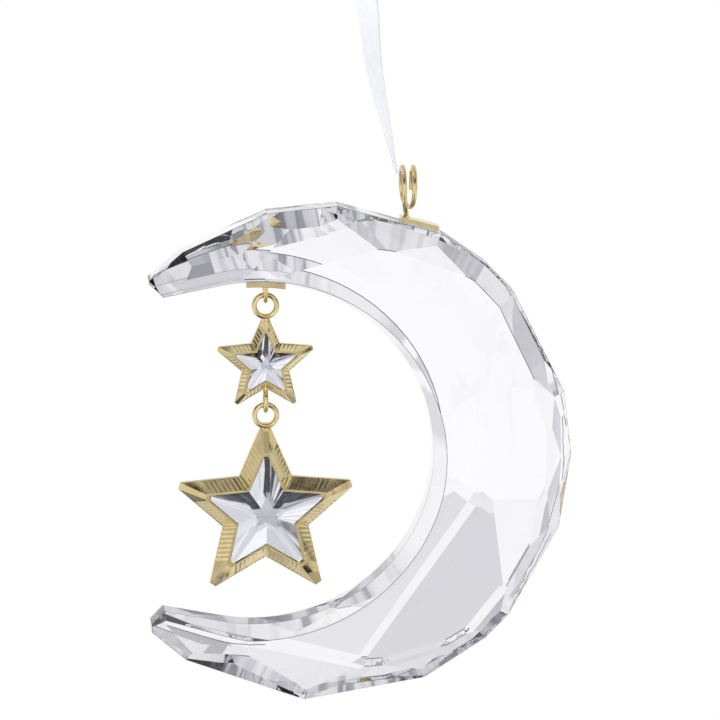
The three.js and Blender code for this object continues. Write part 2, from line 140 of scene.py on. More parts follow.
def ribbon(name, layers):
    """One closed strip for each layer, each a list of (middle, width direction, half width,
    thickness, cup), with a map whose v runs along the ribbon in metres and u across it."""
    across = 10
    vertices, faces, coords = [], [], []
    for stations in layers:
        base = len(vertices)
        ring = 2 * (across + 1)
        run, last = 0, None
        lengths = []
        for i, (middle, wide, half, thick, cup) in enumerate(stations):
            ahead = stations[min(i + 1, len(stations) - 1)][0] - stations[max(i - 1, 0)][0]
            out = wide.cross(ahead).normalized()
            run += (middle - last).length if last else 0
            last = middle
            lengths.append(run)
            for side in (1, -1):
                for k in range(across + 1):
                    s = (2 * k / across - 1) * side
                    vertices.append(middle + wide * half * s + out * (cup * s * s + side * thick / 2))
        for i in range(len(stations) - 1):
            for k in range(ring):
                j = (k + 1) % ring
                a, b = base + i * ring, base + (i + 1) * ring
                faces.append((a + k, a + j, b + j, b + k))
                u = [(q if q <= across else 2 * across + 1 - q) / across for q in (k, j)]
                coords.extend([(u[0], lengths[i]), (u[1], lengths[i]), (u[1], lengths[i + 1]),
                               (u[0], lengths[i + 1])])
        for i, turn in ((0, -1), (len(stations) - 1, 1)):
            start = base + i * ring
            for k in range(across):
                quad = (start + k, start + k + 1, start + ring - 2 - k, start + ring - 1 - k)
                faces.append(quad[::turn])
                coords.extend([(0.5, lengths[i])] * 4)
    mesh = bpy.data.meshes.new(name)
    mesh.from_pydata(vertices, [], faces)
    layer = mesh.uv_layers.new(name="along")
    for loop, uv in zip(layer.data, coords):
        loop.uv = uv
    made = bpy.data.objects.new(name, mesh)
    bpy.context.collection.objects.link(made)
    mesh.polygons.foreach_set("use_smooth", [True] * len(mesh.polygons))
    return made


def between(stops, share):
    """The value at a share, straight between (share, value) stops."""
    for (s0, v0), (s1, v1) in zip(stops, stops[1:]):
        if share <= s1:
            return v0 + (v1 - v0) * (share - s0) / (s1 - s0)
    return stops[-1][1]


# The fold lies on the wire at the bail ring's top, the rest follows ROUTE, given as x and z from the
# moon's middle. TURNS says by how many degrees its width is turned, at shares of the way.
RIBBON_HALF = 2.0
RIBBON_THICK = 0.14
LAYER_GAP = 0.04
WIRE_TOP = Vector((6.079, 0, -51.572))
FOLD_RADIUS = 0.66
FOLD_START, FOLD_SWEEP, FOLD_STEPS = math.pi - 0.3, math.pi / 2 - 0.9, 6
ROUTE = [(10.53, 40.95), (10.03, 42.3), (9.64, 44.5), (8.8, 48.2), (7.9, 51.9), (6.89, 57.8),
         (6.38, 63), (5.6, 70.15)]
TURNS = [(0, 86), (0.1, 85), (0.2, 80), (0.32, 68), (0.46, 55), (0.66, 42), (0.86, 27), (1, 20)]
GATHERED_TO, GATHERED_SHARE = 0.6, 0.2
STRAND_CUP = 0.25
middles = []
for k in range(FOLD_STEPS):
    turn = FOLD_START - k * FOLD_SWEEP / FOLD_STEPS
    middles.append(WIRE_TOP + Vector((-math.sin(turn), 0, math.cos(turn))) * FOLD_RADIUS)
middles += smooth_path([MOON_MIDDLE / MM + Vector((x, 0, z)) for x, z in ROUTE], 60)
layers = [[], []]
for i, middle in enumerate(middles):
    share = i / (len(middles) - 1)
    turn = math.radians(between(TURNS, share))
    wide = Vector((math.cos(turn), math.sin(turn), 0))
    half = RIBBON_HALF * (GATHERED_TO + (1 - GATHERED_TO) * min(share / GATHERED_SHARE, 1))
    ahead = (middles[min(i + 1, len(middles) - 1)] - middles[max(i - 1, 0)]).normalized()
    out = wide.cross(ahead).normalized()
    for side, stations in zip((1, -1), layers):
        stations.append(((middle + out * side * (RIBBON_THICK + LAYER_GAP) / 2) * MM, wide, half * MM,
                         RIBBON_THICK * MM, STRAND_CUP * MM * (1 - share)))
strand = ribbon("ribbon_strand_satin", layers)

# White polyester satin, woven: long floats run along the ribbon and give it a soft silky light
# that drifts along its length, and each edge has a firmer selvedge. The threads lie 0.12 mm apart,
# drawn as 0.25 mm so that they show, and a float is six threads long.
THREAD = 0.25
FLOAT = 6 * THREAD
satin, nodes = material("woven white satin ribbon")
place = add(nodes, "ShaderNodeUVMap", uv_map="along")
threads = add(nodes, "ShaderNodeMapping", [
    ("Vector", place, "UV"), ("Scale", (2 * RIBBON_HALF / THREAD, 1 / (FLOAT * MM), 1))])
weave = add(nodes, "ShaderNodeTexNoise", [("Vector", threads, "Vector")], Scale=1, Detail=2)
tone = add(nodes, "ShaderNodeValToRGB", [("Fac", weave, "Fac")],
           [(0.3, linear("EEF0F3")), (0.7, linear("FAFBFC"))])
across = add(nodes, "ShaderNodeSeparateXYZ", [("Vector", place, "UV")])
edge = add(nodes, "ShaderNodeMath", [(0, across, "X"), (1, 0.5)], operation="PINGPONG")
selvedge = add(nodes, "ShaderNodeMapRange", [("Value", edge, "Value")], From_Min=0.04, From_Max=0.07)
firm = add(nodes, "ShaderNodeMix", [(0, selvedge, "Result"), (6, linear("F0F0F5")), (7, tone, "Color")],
           data_type="RGBA")
relief = add(nodes, "ShaderNodeBump", [("Height", weave, "Fac")], Strength=0.2, Distance=0.04 * MM)
shader = add(nodes, "ShaderNodeBsdfPrincipled", [("Base Color", firm, 2), ("Normal", relief, "Normal")],
             Roughness=0.4, Sheen_Weight=0.4, Anisotropic=0.6, Specular_IOR_Level=0.5)
add(nodes, "ShaderNodeOutputMaterial", [("Surface", shader, "BSDF")])
strand.data.materials.append(satin)
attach(strand, "ribbon")
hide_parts("ribbon_strand")


# Ribbon knot: the doubled satin ribbon tied in an overhand knot. Two turns of it lie crossed round
# the gathered core, pulled tight. Above the picture's edge, so it is worked out from its kind.
KNOT_MIDDLE = Vector((0, 0, -20.7))
WRAP_STEPS = 40
WRAP_SWEEP = 400
TUCKED_FROM, TUCKED_IN = 0.8, 0.55
TUCK_GATHER = 0.2
WRAP_LEAN = 0.25
WRAP_CUP = -0.35


def wrap(tilt, radius_x, radius_y, start, half):
    """One turn of ribbon round the knot's core, tucked in and gathered at both ends."""
    stations = []
    for i in range(WRAP_STEPS + 1):
        share = i / WRAP_STEPS
        turn = math.radians(start + WRAP_SWEEP * share)
        tuck = 1 - TUCKED_IN * max(abs(2 * share - 1) - TUCKED_FROM, 0) / (1 - TUCKED_FROM)
        middle = KNOT_MIDDLE + tuck * Vector((radius_x * math.cos(turn), radius_y * math.sin(turn),
                                              tilt * math.sin(turn - math.radians(start))))
        out = Vector((math.cos(turn) * radius_y, math.sin(turn) * radius_x, 0)).normalized()
        wide = (Vector((0, 0, 1)) - out * WRAP_LEAN * math.sin(2 * turn)).normalized()
        stations.append((middle * MM, wide, half * (1 - TUCK_GATHER * (1 - tuck)) * MM,
                         RIBBON_THICK * MM, WRAP_CUP * MM))
    return stations


# The core's two layers run up through the wraps. They are pinched in the middle and turn as they
# climb.
CORE_REACH = 2.15
CORE_STEPS = 16
CORE_HALF, CORE_PINCH = 1.6, 0.45
CORE_APART, CORE_CUP = 0.3, 0.5
CORE_TURN, CORE_TWIST = 20, 30
core = [[], []]
for i in range(CORE_STEPS + 1):
    rise = -CORE_REACH + 2 * CORE_REACH * i / CORE_STEPS
    pinch = 1 - CORE_PINCH * math.cos(math.pi * rise / (2 * CORE_REACH))
    turn = math.radians(CORE_TURN + CORE_TWIST * i / CORE_STEPS)
    wide = Vector((math.cos(turn), math.sin(turn), 0))
    out = wide.cross(Vector((0, 0, 1)))
    for side, stations in zip((1, -1), core):
        stations.append(((KNOT_MIDDLE + Vector((0, 0, rise)) + out * side * CORE_APART) * MM, wide,
                         CORE_HALF * pinch * MM, RIBBON_THICK * MM, side * CORE_CUP * MM))
upper_wrap = wrap(tilt=0.75, radius_x=2.05, radius_y=1.6, start=-150, half=1.25)
lower_wrap = wrap(tilt=-0.7, radius_x=1.7, radius_y=1.3, start=20, half=1.1)
knot = ribbon("ribbon_knot_satin", core + [upper_wrap, lower_wrap])
knot.data.materials.append(satin)
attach(knot, "ribbon")
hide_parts("ribbon_knot")


# Ribbon loop: the single satin ribbon above the knot, a drop-shaped loop that a hook or a twig
# takes. Its two legs turn, gather and cup a little as they come out of the knot.
LOOP_FOOT = Vector((0, 0, -18.35))
LOOP_WIDTH = 9.8
LOOP_HEIGHT = 20
LOOP_STEPS = 72
# A higher power makes the drop's foot more slender. With this one a plain drop is 1.4 wide, so
# DROP_FILL makes it LOOP_WIDTH wide.
DROP_POWER, DROP_FILL = 1.5, 0.71
LEGS_APART = 0.36
# Twist, gathers and cup fade out some 8 mm above the foot, where the sine of half the turn is
# LEG_END.
LEG_TWIST, LEG_GATHER, LEG_CUP, LEG_END = 38, 0.8, 0.3, 0.625
stations = []
for i in range(LOOP_STEPS + 1):
    turn = 2 * math.pi * i / LOOP_STEPS
    side = math.sin(turn) * math.sin(turn / 2) ** DROP_POWER * LOOP_WIDTH * DROP_FILL
    side += LEGS_APART * math.cos(turn / 2)
    middle = LOOP_FOOT + Vector((side, 0, LOOP_HEIGHT / 2 * (1 - math.cos(turn))))
    low = max(1 - math.sin(turn / 2) / LEG_END, 0)
    twist = math.radians(LEG_TWIST) * low * (1 if i < LOOP_STEPS / 2 else -1)
    wide = Vector((math.sin(twist), math.cos(twist), 0))
    stations.append((middle * MM, wide, (RIBBON_HALF - LEG_GATHER * low) * MM, RIBBON_THICK * MM,
                     LEG_CUP * low * MM))
loop = ribbon("ribbon_loop_satin", [stations])
loop.data.materials.append(satin)
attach(loop, "ribbon")
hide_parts("ribbon_loop")


# Studio: a pale floor well below the ornament, and a white cloth tent all round it. The cloth is
# brightest behind and a little below the ornament, where the glass looks through to it. Its seams
# and the slot for the camera's hood are dark, and glass and gold mirror them as streaks. The
# camera itself sees plain white.
FLOOR_SIZE, FLOOR_HEIGHT = 6, -0.2
bpy.ops.mesh.primitive_plane_add(size=FLOOR_SIZE, location=(0, 0, FLOOR_HEIGHT))
floor = bpy.context.object
floor.name = "floor"
floor.visible_transmission = False
floor.visible_glossy = False
# Matt white paint, which throws soft light up and looks plain white itself.
paint, nodes = material("matt white floor paint")
rays = add(nodes, "ShaderNodeLightPath")
matt = add(nodes, "ShaderNodeBsdfDiffuse", Color=linear("F2F2F2"))
lit = add(nodes, "ShaderNodeEmission", Color=linear("FFFFFF"), Strength=1)
mixed = add(nodes, "ShaderNodeMixShader", [(0, rays, "Is Camera Ray"), (1, matt, "BSDF"),
                                           (2, lit, "Emission")])
add(nodes, "ShaderNodeOutputMaterial", [("Surface", mixed, "Shader")])
floor.data.materials.append(paint)


COOLER = 0.9


def greys(low, high, tones):
    """A colour ramp's stops for (value, tone) pairs, whose values run from low to high. The darker
    greys are a little cooler."""
    return [((value - low) / (high - low), (tone, tone, tone ** COOLER, 1)) for value, tone in tones]


# The tent is described by direction, in degrees: by bearing, 0 behind the ornament and 180 at the
# camera's side, and by height, 0 level with the ornament. The whole of it is turned by TENT_TURN.
# A tone of 1 is white cloth.
TENT_TURN = -7
world = bpy.context.scene.world or bpy.data.worlds.new("studio")
bpy.context.scene.world = world
world.use_nodes = True
nodes = world.node_tree
nodes.nodes.clear()
way = add(nodes, "ShaderNodeTexCoord")
axes = add(nodes, "ShaderNodeSeparateXYZ", [("Vector", way, "Generated")])
straight = add(nodes, "ShaderNodeMath", [(0, axes, "X"), (1, axes, "Y")], operation="ARCTAN2")
turned = add(nodes, "ShaderNodeMath", [(0, straight, 0), (1, math.radians(TENT_TURN))], operation="ADD")
bearing = add(nodes, "ShaderNodeMath", [(0, turned, 0), (1, math.pi), (2, -math.pi)], operation="WRAP")
round_share = add(nodes, "ShaderNodeMapRange", [("Value", bearing, 0)], From_Min=-math.pi,
                  From_Max=math.pi)
height = add(nodes, "ShaderNodeMath", [(0, axes, "Z")], operation="ARCSINE")
height_share = add(nodes, "ShaderNodeMapRange", [("Value", height, 0)], From_Min=-math.pi / 2,
                   From_Max=math.pi / 2)
seams = add(nodes, "ShaderNodeValToRGB", [("Fac", round_share, "Result")], greys(-180, 180, (
    (-180, 1), (-140, 1), (-70, 0.92), (-62, 0.85), (-60, 0.1), (-57, 0.1), (-54, 0.6), (-46, 0.6),
    (-37, 0.75), (-30, 0.95), (-15, 1), (45, 1), (52, 0.95), (55, 0.1), (58, 0.1), (60, 0.9),
    (93, 0.95), (150, 1), (180, 1))))
behind = add(nodes, "ShaderNodeValToRGB", [("Fac", height_share, "Result")], greys(-90, 90, (
    (-90, 0.75), (-66, 0.75), (-64, 0.1), (-61, 0.1), (-58, 0.62), (-50, 0.66), (-44, 0.76),
    (-38, 0.87), (-33, 0.97), (-12, 1), (-9, 0.96), (-5, 0.7), (0, 0.64), (3.2, 0.64), (4.6, 0.97),
    (9.5, 0.97), (11, 0.66), (15, 0.64), (22, 0.85), (36, 0.85), (46, 0.76), (52, 0.72), (58, 0.68),
    (66, 0.6), (68, 0.15), (70, 0.15), (72, 0.7), (90, 0.85))))
before = add(nodes, "ShaderNodeValToRGB", [("Fac", height_share, "Result")], greys(-90, 90, (
    (-90, 0.6), (-70, 0.5), (-66, 0.1), (-63, 0.1), (-59, 0.45), (-50, 0.62), (-43, 0.85),
    (-36, 0.97), (-18, 1), (-5, 0.92), (8, 0.78), (20, 0.85), (30, 0.9), (36, 0.4), (40, 0.05),
    (54, 0.05), (60, 0.6), (90, 0.9))))
# At the camera's side, round the lens, a small lamp stands above the black cloth of the tripod.
LENS_FROM, LENS_TO = 158, 162
LAMP_LIGHT = 1.15
from_middle = add(nodes, "ShaderNodeMath", [(0, bearing, 0)], operation="ABSOLUTE")
lens_near = add(nodes, "ShaderNodeMapRange", [("Value", from_middle, 0)],
                From_Min=math.radians(LENS_FROM), From_Max=math.radians(LENS_TO))
lens_side = add(nodes, "ShaderNodeValToRGB", [("Fac", height_share, "Result")], greys(-90, 90, (
    (-90, 0.6), (-66, 0.5), (-56, 0.3), (-50, 0.05), (-20, 0.03), (-17, 0.4), (-12, 0.6), (-4, 0.8),
    (8, 0.9), (25, 0.8), (34, 0.7), (40, 0.3), (63, 0.6), (84, 0.9), (90, 0.9))))
lamp_high = add(nodes, "ShaderNodeValToRGB", [("Fac", height_share, "Result")], greys(-90, 90, (
    (-90, 0), (8, 0), (9, 1), (23, 1), (25, 0), (90, 0))))
lamp_spot = add(nodes, "ShaderNodeMath", [(0, lens_near, "Result"), (1, lamp_high, "Color")],
                operation="MULTIPLY")
cloth_side = add(nodes, "ShaderNodeMix", [(0, lens_near, "Result"), (6, before, "Color"),
                                          (7, lens_side, "Color")], data_type="RGBA")
front = add(nodes, "ShaderNodeMix", [(0, lamp_spot, 0), (6, cloth_side, 2),
                                     (7, (LAMP_LIGHT, LAMP_LIGHT, LAMP_LIGHT, 1))], data_type="RGBA")
# Behind on the left, level with the ornament, the cloths part in a wide gap and in a narrow one
# that let more light in.
GAP_SIDE = (-60, 0)
GAP_LIGHT = 0.95
gap_share = add(nodes, "ShaderNodeMapRange", [("Value", bearing, 0)],
                From_Min=math.radians(GAP_SIDE[0]), From_Max=math.radians(GAP_SIDE[1]))
gap_way = add(nodes, "ShaderNodeValToRGB", [("Fac", gap_share, "Result")], greys(*GAP_SIDE, (
    (-60, 0), (-52, 0), (-46, 1), (-17.6, 1), (-15.6, 0), (-10.2, 0), (-9.7, 1), (-7.6, 1),
    (-7.1, 0), (0, 0))))
gap_high = add(nodes, "ShaderNodeValToRGB", [("Fac", height_share, "Result")], greys(-90, 90, (
    (-90, 0), (-10, 0), (-8, 1), (8, 1), (10, 0), (90, 0))))
gap_spot = add(nodes, "ShaderNodeMath", [(0, gap_way, "Color"), (1, gap_high, "Color")],
               operation="MULTIPLY")
rear = add(nodes, "ShaderNodeMix", [(0, gap_spot, 0), (6, behind, "Color"),
                                    (7, (GAP_LIGHT, GAP_LIGHT, GAP_LIGHT, 1))], data_type="RGBA")
# The cloths behind pass into those in front where a direction's y falls through this range.
REAR_ENDS, FRONT_STARTS = 0.3, -0.1
facing = add(nodes, "ShaderNodeMapRange", [("Value", axes, "Y")], From_Min=REAR_ENDS,
             From_Max=FRONT_STARTS)
cloths = add(nodes, "ShaderNodeMix", [(0, facing, "Result"), (6, rear, 2), (7, front, 2)],
             data_type="RGBA")
seamed = add(nodes, "ShaderNodeMix", [(0, 1), (6, seams, "Color"), (7, cloths, 2)],
             data_type="RGBA", blend_type="MULTIPLY")
# The cloth hangs in soft folds where it is not pulled tight, low down and overhead. A fold is
# about a sixteenth of the tent's radius wide.
FOLDS = (16, 16, 5)
drape = add(nodes, "ShaderNodeMapping", [("Vector", way, "Generated"), ("Scale", FOLDS)])
folds = add(nodes, "ShaderNodeTexNoise", [("Vector", drape, "Vector")], Scale=1, Detail=1)
fold_tones = add(nodes, "ShaderNodeValToRGB", [("Fac", folds, 0)], greys(0, 1, (
    (0.38, 0.45), (0.47, 0.9), (0.53, 1), (0.62, 1.12))))
loose = add(nodes, "ShaderNodeValToRGB", [("Fac", height_share, "Result")], greys(-90, 90, (
    (-90, 1), (-44, 1), (-36, 0), (32, 0), (42, 1), (90, 1))))
hung = add(nodes, "ShaderNodeMix", [(0, loose, "Color"), (6, seamed, 2), (7, fold_tones, "Color")],
           data_type="RGBA", blend_type="MULTIPLY")
rays = add(nodes, "ShaderNodeLightPath")
seen = add(nodes, "ShaderNodeMix", [(0, rays, "Is Camera Ray"), (6, hung, 2), (7, linear("FFFFFF"))],
           data_type="RGBA")
sky = add(nodes, "ShaderNodeBackground", [("Color", seen, 2)], Strength=1)
add(nodes, "ShaderNodeOutputWorld", [("Surface", sky, "Background")])

# Two soft lamps light the satin. Glass and gold don't show them, because a lamp seen in a facet
# burns it out to a plain white patch. Each is a name, a place, a size in metres and a power.
LAMPS = (("lamp_left", (-0.5, -0.5, 0.3), 0.5, 4),
         ("lamp_top", (0.2, 0.1, 0.7), 0.6, 5))
for name, place, size, power in LAMPS:
    bpy.ops.object.light_add(type="AREA", location=place)
    lamp = bpy.context.object
    lamp.name = name
    lamp.data.size = size
    lamp.data.energy = power
    lamp.visible_glossy = False
    lamp.visible_transmission = False
    lamp.rotation_euler = (Vector(place) - MOON_MIDDLE).to_track_quat("Z", "Y").to_euler()


# Moon crystal: one block of clear crystal glass, ground flat facet by facet and polished. It hangs
# from the plate glued on its rim.
MERGE, FLAT = 1e-6, 0.4


def copy_of(node, name):
    """A merged copy of a CAD node's mesh, as a new object that stands for it. The triangles of one
    flat are made one face."""
    made = bpy.data.objects.new(name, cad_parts[node].data.copy())
    bpy.context.collection.objects.link(made)
    bpy.ops.object.select_all(action="DESELECT")
    bpy.context.view_layer.objects.active = made
    made.select_set(True)
    bpy.ops.object.mode_set(mode="EDIT")
    bpy.ops.mesh.select_all(action="SELECT")
    bpy.ops.mesh.remove_doubles(threshold=MERGE)
    bpy.ops.mesh.dissolve_limited(angle_limit=math.radians(FLAT))
    bpy.ops.object.mode_set(mode="OBJECT")
    made.data.materials.clear()
    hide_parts(node)
    return made


# Polished crystal glass, the moon's facets: clear, and so bright where it looks through to the tent
# that only the facets' different leans tell them apart. The lap that polished them leaves waves some
# 8 mm long, which shade each facet softly.
CRYSTAL, CRYSTAL_IOR = "FDFDFF", 1.517
LAP_WAVE, LAP_DEPTH = 8, 0.008
glass, nodes = material("polished optical crystal glass")
place = add(nodes, "ShaderNodeTexCoord")
lap_waves = add(nodes, "ShaderNodeTexNoise", [("Vector", place, "Object")],
                Scale=1 / (LAP_WAVE * MM), Detail=0)
lapped = add(nodes, "ShaderNodeBump", [("Height", lap_waves, 0)], Strength=1, Distance=LAP_DEPTH * MM)
shader = add(nodes, "ShaderNodeBsdfPrincipled", [("Normal", lapped, "Normal")],
             Base_Color=linear(CRYSTAL), Roughness=0, IOR=CRYSTAL_IOR, Transmission_Weight=1)
add(nodes, "ShaderNodeOutputMaterial", [("Surface", shader, "BSDF")])
# The same glass where the arris between two facets is taken off by hand: a hair-wide, fine-ground
# line. Its roughness is real, but its dark grey colour is painted shade for the dark line at a facet's
# edge.
arris_glass_painted_shade, nodes = material("hand softened arris of crystal glass with painted shade")
# The dark grey base colour is painted shade along the arris, not the colour of ground glass.
shader = add(nodes, "ShaderNodeBsdfPrincipled", Base_Color=linear("5A5E68"), Roughness=0.35,
             IOR=CRYSTAL_IOR, Transmission_Weight=0.3)
add(nodes, "ShaderNodeOutputMaterial", [("Surface", shader, "BSDF")])
# The rim facets, cut on the wheel's edge: its passes leave faint waves across the rim, about 2 mm
# apart, that break what is seen through them into soft grey streaks. The pattern runs by the angle
# round the moon's middle, at the rim's mean radius.
WHEEL_PASS, WHEEL_DEPTH = 2.2, 0.06
RIM_RADIUS = 35
rim_glass, nodes = material("wheel cut rim of crystal glass")
place = add(nodes, "ShaderNodeTexCoord")
centred = add(nodes, "ShaderNodeMapping", [("Vector", place, "Object"), ("Location", -MOON_MIDDLE)])
sides = add(nodes, "ShaderNodeSeparateXYZ", [("Vector", centred, "Vector")])
round_rim = add(nodes, "ShaderNodeMath", [(0, sides, "X"), (1, sides, "Z")], operation="ARCTAN2")
passes = add(nodes, "ShaderNodeTexNoise", [("W", round_rim, 0)], noise_dimensions="1D",
             Scale=RIM_RADIUS / WHEEL_PASS, Detail=0)
waves = add(nodes, "ShaderNodeBump", [("Height", passes, 0)], Strength=1, Distance=WHEEL_DEPTH * MM)
shader = add(nodes, "ShaderNodeBsdfPrincipled", [("Normal", waves, "Normal")],
             Base_Color=linear(CRYSTAL), Roughness=0, IOR=CRYSTAL_IOR, Transmission_Weight=1)
add(nodes, "ShaderNodeOutputMaterial", [("Surface", shader, "BSDF")])
# The arris lines are cut on the edges between facets and on the two round the inner wall's land,
# WALL_LAND wide. A facet of the rim is one that faces outward and no more than RIM_LEAN to the
# front or the back, as the y of its normal.
WALL_LAND = 4.2
LAND_NEAR = 0.05
SHARP = 28
ARRIS = 0.14
RIM_LEAN = 0.75
WALL_SMOOTH = 5.2
crystal = copy_of("moon_crystal", "cut_moon")
for finish in (glass, arris_glass_painted_shade, rim_glass):
    crystal.data.materials.append(finish)
bpy.ops.object.mode_set(mode="EDIT")
bpy.ops.mesh.select_mode(type="EDGE")
bpy.ops.mesh.select_all(action="DESELECT")
bpy.ops.mesh.edges_select_sharp(sharpness=math.radians(SHARP))
mesh = bmesh.from_edit_mesh(crystal.data)
for edge in mesh.edges:
    near, far = (v.co.y / MM for v in edge.verts)
    if abs(near - far) < LAND_NEAR and abs(abs(near) - WALL_LAND / 2) < LAND_NEAR:
        edge.select_set(True)
for face in mesh.faces:
    outward = face.normal.dot(face.calc_center_median() - MOON_MIDDLE) > 0
    face.material_index = 2 if outward and abs(face.normal.y) < RIM_LEAN else 0
bmesh.update_edit_mesh(crystal.data)
bpy.ops.mesh.bevel(offset=ARRIS / 2 * MM, segments=1, affect="EDGES", material=1)
bpy.ops.object.mode_set(mode="OBJECT")
bpy.ops.object.shade_smooth_by_angle(angle=math.radians(WALL_SMOOTH))
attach(crystal, "moon")


# Top plate: a small flat plate of gold-plated brass, stamped and glued on the rim, with a hole for
# the foot of the bail ring.
PLATE_ROUNDING = 0.1


def round_edges(piece, width, over, smooth):
    """Rounds the edges that are sharper than over degrees, and shades those under smooth degrees
    smooth."""
    arris = piece.modifiers.new("arris", "BEVEL")
    arris.width = width * MM
    arris.segments = 2
    arris.limit_method = "ANGLE"
    arris.angle_limit = math.radians(over)
    bpy.context.view_layer.objects.active = piece
    bpy.ops.object.modifier_apply(modifier="arris")
    bpy.ops.object.shade_smooth_by_angle(angle=math.radians(smooth))


# Pale gold plating, polished and lacquered: near a mirror, warm cream where it is light and brown
# where it mirrors dark. Faint polishing marks, POLISH_MARK long, blur it here and there.
POLISH_MARK = 1.6
gold, nodes = material("polished pale gold plating")
place = add(nodes, "ShaderNodeTexCoord")
marks = add(nodes, "ShaderNodeTexNoise", [("Vector", place, "Object")],
            Scale=1 / (POLISH_MARK * MM), Detail=1)
dull = add(nodes, "ShaderNodeMapRange", [("Value", marks, "Fac")], From_Min=0.35, From_Max=0.7,
           To_Min=0.07, To_Max=0.13)
tint = add(nodes, "ShaderNodeValToRGB", [("Fac", marks, "Fac")],
           [(0.3, linear("E3CD94")), (0.7, linear("EFDFA8"))])
ripple = add(nodes, "ShaderNodeBump", [("Height", marks, "Fac")], Strength=0.015, Distance=0.05 * MM)
shader = add(nodes, "ShaderNodeBsdfPrincipled", [
    ("Base Color", tint, "Color"), ("Roughness", dull, "Result"), ("Normal", ripple, "Normal")],
    Metallic=1)
add(nodes, "ShaderNodeOutputMaterial", [("Surface", shader, "BSDF")])


def gild(piece, body):
    """Plates a piece of the given body with gold."""
    piece.data.materials.append(gold)
    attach(piece, body)


top_plate = copy_of("top_plate", "stamped_top_plate")
round_edges(top_plate, width=PLATE_ROUNDING, over=40, smooth=12)
gild(top_plate, "moon")


# Bail ring: 0.8 mm wire of gold-plated brass, wound one turn and three quarters. Its foot stands in
# the plate's hole and is soldered there.
WIRE_FACET = math.radians(40)


def draw_wire(piece):
    """Makes a wire's facets one smooth round surface."""
    bpy.ops.object.mode_set(mode="EDIT")
    bpy.ops.mesh.select_all(action="SELECT")
    bpy.ops.mesh.tris_convert_to_quads(face_threshold=WIRE_FACET, shape_threshold=WIRE_FACET)
    bpy.ops.object.mode_set(mode="OBJECT")
    drawn = piece.modifiers.new("drawn", "SUBSURF")
    drawn.levels = 2
    drawn.render_levels = 2
    bpy.ops.object.modifier_apply(modifier="drawn")
    bpy.ops.object.shade_smooth()


bail = copy_of("bail_ring", "wound_bail_ring")
draw_wire(bail)
gild(bail, "moon")


# Inner plate and eye: a curved plate of gold-plated brass glued in the bay, and a wire staple whose
# two legs stand in its holes.
inner_plate = copy_of("inner_plate", "curved_inner_plate")
round_edges(inner_plate, width=PLATE_ROUNDING, over=40, smooth=12)
gild(inner_plate, "moon")
inner_eye = copy_of("inner_eye", "wire_inner_eye")
draw_wire(inner_eye)
gild(inner_eye, "moon")


# Star frames: cast in brass, polished and gold plated. Each slope between the crest round the stone
# and the outer edge is diamond cut with flutes, all parallel to the line of its notch.
STAR_MIDDLES = {"small": Vector((-13.8, 0, -80.088)), "large": Vector((-13.8, 0, -102.143))}
HALF_POINT = 36
NOTCH_SHARE = 0.5
BLUNT_SHARE = 0.038
CAST_ROUNDING = 0.06
FLUTE_BORDER = 0.13
FLUTE_DEPTH_SHARE = 0.13
FLUTED_SHARE = 0.98
# A face is part of a slope if its normal, its plane and its place across agree this well.
SAME_LEAN = 0.999
SAME_PLANE = 0.02
SLOPE_SHARE = 1.5
# A point is on a flute's line if it is this near to it, as a share of the lines' distance.
ON_LINE = 0.01


def slope_at(middle, notch_turn, side, crest, edge):
    """One slope beside a notch: the crest's point in the notch, the way across the slope and its
    normal. crest and edge are (distance from the star's middle to a point, y)."""
    way = Vector((math.cos(notch_turn), 0, math.sin(notch_turn)))
    tip_turn = notch_turn + side * math.radians(HALF_POINT)
    tip = Vector((math.cos(tip_turn), 0, math.sin(tip_turn)))
    tip += Vector((math.sin(tip_turn), 0, -math.cos(tip_turn))) * side * BLUNT_SHARE
    low = middle + way * NOTCH_SHARE * edge[0] + Vector((0, edge[1], 0))
    high = middle + way * NOTCH_SHARE * crest[0] + Vector((0, crest[1], 0))
    along = (tip - way * NOTCH_SHARE).normalized()
    normal = (low - high).cross(along).normalized()
    normal *= -1 if normal.y > 0 else 1
    across = Vector((-math.sin(notch_turn), 0, math.cos(notch_turn))) * side
    return high * MM, across, normal


def flute(piece, foot, across, normal, pitch, reach):
    """Cuts V-shaped flutes into one slope, inside a narrow border. The slope's faces lie in one
    plane, on one side of the foot. Every other line that is cut across them goes down."""
    bpy.ops.mesh.select_all(action="DESELECT")
    mesh = bmesh.from_edit_mesh(piece.data)
    for face in mesh.faces:
        from_foot = face.calc_center_median() - foot
        if face.normal.dot(normal) > SAME_LEAN and abs(from_foot.dot(normal)) < SAME_PLANE * MM:
            if 0 < from_foot.dot(across) < reach * SLOPE_SHARE:
                face.select_set(True)
    bmesh.update_edit_mesh(piece.data)
    bpy.ops.mesh.inset(thickness=FLUTE_BORDER * MM)
    mesh = bmesh.from_edit_mesh(piece.data)
    for face in mesh.faces:
        if face.select:
            face.material_index = 1
    count = int(reach / (pitch / 2))
    for k in range(1, count):
        mesh = bmesh.from_edit_mesh(piece.data)
        for face in mesh.faces:
            face.select_set(face.material_index == 1)
        bmesh.update_edit_mesh(piece.data)
        bpy.ops.mesh.bisect(plane_co=foot + across * (k * pitch / 2), plane_no=across)
    mesh = bmesh.from_edit_mesh(piece.data)
    for vertex in {v for face in mesh.faces if face.material_index == 1 for v in face.verts}:
        step = (vertex.co - foot).dot(across) / (pitch / 2)
        if step < count - 0.5 and round(step) % 2 == 1 and abs(step - round(step)) < ON_LINE:
            vertex.co -= normal * FLUTE_DEPTH_SHARE * pitch
    for face in mesh.faces:
        face.material_index = 0
    bmesh.update_edit_mesh(piece.data)


